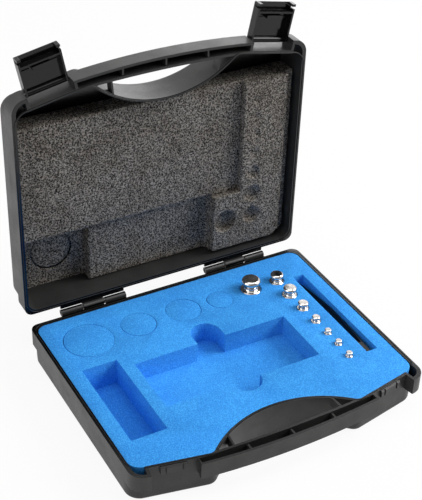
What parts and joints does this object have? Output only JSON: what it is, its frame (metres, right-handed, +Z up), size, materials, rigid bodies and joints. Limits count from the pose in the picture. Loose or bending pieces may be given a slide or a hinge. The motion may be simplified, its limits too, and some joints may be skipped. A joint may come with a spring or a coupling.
{
  "type": "weight set case",
  "caption": "Carrying case with a hinged lid and two over-centre latches, whose foam holds knob weights and tweezers, with spare recesses and a carrying handle.",
  "frame": {"origin": "centre of the tray's underside, on the surface that the case stands on", "axes": "+Z up, +Y from the handle towards the hinges, +X to the right of somebody who faces the handle; the lid stands open by 90 degrees and the latches stand straight out of the lid"},
  "size_m": [0.25, 0.242, 0.2635],
  "materials": {
    "shell": "fine grain",
    "latch": "satin",
    "tray_foam": "closed-cell foam",
    "lid_foam": "open-cell foam",
    "weight": "polished",
    "pin": "drawn",
    "tweezers": "satin"
  },
  "bodies": {
    "tray": {"tray_shell": "shell", "foam_insert": "tray_foam", "foam_plug_500g": "tray_foam", "foam_plug_200g_a": "tray_foam", "foam_plug_200g_b": "tray_foam", "foam_plug_100g": "tray_foam", "hinge_pin_left": "pin", "hinge_pin_right": "pin"},
    "lid": {"lid_shell": "shell", "lid_foam": "lid_foam", "lid_foam_pad": "lid_foam", "latch_pin_left": "pin", "latch_pin_right": "pin"},
    "latch_left": {"latch_left": "latch"},
    "latch_right": {"latch_right": "latch"},
    "weight_50g": {"weight_50g": "weight"},
    "weight_20g_a": {"weight_20g_a": "weight"},
    "weight_20g_b": {"weight_20g_b": "weight"},
    "weight_10g": {"weight_10g": "weight"},
    "weight_5g": {"weight_5g": "weight"},
    "weight_2g_a": {"weight_2g_a": "weight"},
    "weight_2g_b": {"weight_2g_b": "weight"},
    "weight_1g": {"weight_1g": "weight"},
    "tweezers": {"tweezers": "tweezers"}
  },
  "joints": [
    {"name": "lid_hinge", "type": "hinge", "parent": "tray", "child": "lid", "pos_m": [0, 0.1079, 0.03055], "axis": [-1, 0, 0], "range_deg": [-90, 0]},
    {"name": "latch_left_hinge", "type": "hinge", "parent": "lid", "child": "latch_left", "pos_m": [-0.09363, 0.12025, 0.22978], "axis": [-0.981, 0, -0.194], "range_deg": [-90, 0]},
    {"name": "latch_right_hinge", "type": "hinge", "parent": "lid", "child": "latch_right", "pos_m": [0.09363, 0.12025, 0.22978], "axis": [-0.981, 0, 0.194], "range_deg": [-90, 0]},
    {"name": "weight_50g_lift", "type": "slide", "parent": "tray", "child": "weight_50g", "axis": [0, 0, 1], "range_m": [0, 0.04]},
    {"name": "weight_20g_a_lift", "type": "slide", "parent": "tray", "child": "weight_20g_a", "axis": [0, 0, 1], "range_m": [0, 0.032]},
    {"name": "weight_20g_b_lift", "type": "slide", "parent": "tray", "child": "weight_20g_b", "axis": [0, 0, 1], "range_m": [0, 0.032]},
    {"name": "weight_10g_lift", "type": "slide", "parent": "tray", "child": "weight_10g", "axis": [0, 0, 1], "range_m": [0, 0.028]},
    {"name": "weight_5g_lift", "type": "slide", "parent": "tray", "child": "weight_5g", "axis": [0, 0, 1], "range_m": [0, 0.024]},
    {"name": "weight_2g_a_lift", "type": "slide", "parent": "tray", "child": "weight_2g_a", "axis": [0, 0, 1], "range_m": [0, 0.02]},
    {"name": "weight_2g_b_lift", "type": "slide", "parent": "tray", "child": "weight_2g_b", "axis": [0, 0, 1], "range_m": [0, 0.02]},
    {"name": "weight_1g_lift", "type": "slide", "parent": "tray", "child": "weight_1g", "axis": [0, 0, 1], "range_m": [0, 0.015]},
    {"name": "tweezers_lift", "type": "slide", "parent": "tray", "child": "tweezers", "axis": [0, 0, 1], "range_m": [0, 0.03]}
  ]
}
